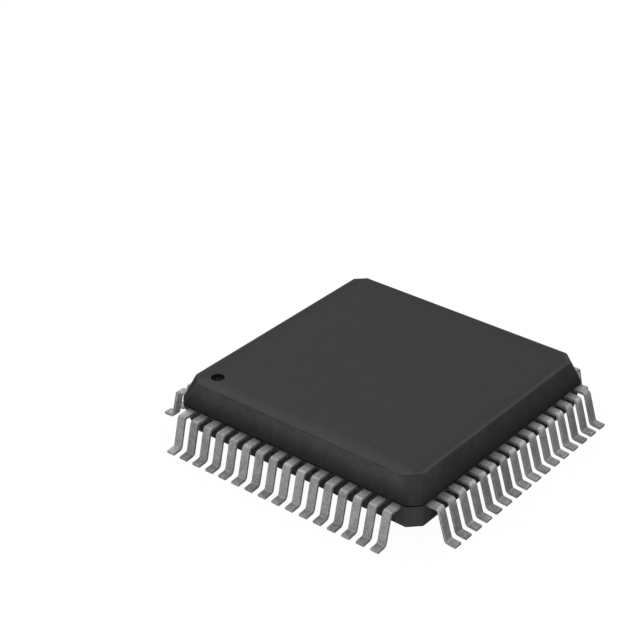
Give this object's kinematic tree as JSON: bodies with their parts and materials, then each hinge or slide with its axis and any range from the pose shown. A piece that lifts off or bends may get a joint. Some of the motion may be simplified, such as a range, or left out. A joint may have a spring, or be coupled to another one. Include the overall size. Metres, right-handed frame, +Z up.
{
  "type": "quad flat pack chip",
  "caption": "Flat square black moulded chip package with cut corners, a round pin-one dimple and rows of formed gull-wing leads on every side, standing on its feet for soldering.",
  "frame": {"origin": "centre of the seating plane, where the ends of the feet stand", "axes": "+Z up through the top face; the dimple's corner is at -X, +Y; leads are numbered counter-clockwise seen from above, from that corner along the -X side"},
  "size_m": [0.0172, 0.0172, 0.003],
  "materials": {
    "mould_epoxy": "fine moulded matte",
    "lead_tin": "matte tin plating",
    "leadframe_copper": "bare copper alloy",
    "silver_epoxy": "matte",
    "silicon": "polished",
    "gold_wire": "bright"
  },
  "bodies": {
    "root": {"mould_body": "mould_epoxy", "die_pad": "leadframe_copper", "die_attach": "silver_epoxy", "silicon_die": "silicon", "leads_01_04": "lead_tin", "leads_05_08": "lead_tin", "leads_09_12": "lead_tin", "leads_13_16": "lead_tin", "leads_17_20": "lead_tin", "leads_21_24": "lead_tin", "leads_25_28": "lead_tin", "leads_29_32": "lead_tin", "leads_33_36": "lead_tin", "leads_37_40": "lead_tin", "leads_41_44": "lead_tin", "leads_45_48": "lead_tin", "leads_49_52": "lead_tin", "leads_53_56": "lead_tin", "leads_57_60": "lead_tin", "leads_61_64": "lead_tin", "bond_wires_01_04": "gold_wire", "bond_wires_05_08": "gold_wire", "bond_wires_09_12": "gold_wire", "bond_wires_13_16": "gold_wire", "bond_wires_17_20": "gold_wire", "bond_wires_21_24": "gold_wire", "bond_wires_25_28": "gold_wire", "bond_wires_29_32": "gold_wire", "bond_wires_33_36": "gold_wire", "bond_wires_37_40": "gold_wire", "bond_wires_41_44": "gold_wire", "bond_wires_45_48": "gold_wire", "bond_wires_49_52": "gold_wire", "bond_wires_53_56": "gold_wire", "bond_wires_57_60": "gold_wire", "bond_wires_61_64": "gold_wire"}
  },
  "joints": []
}
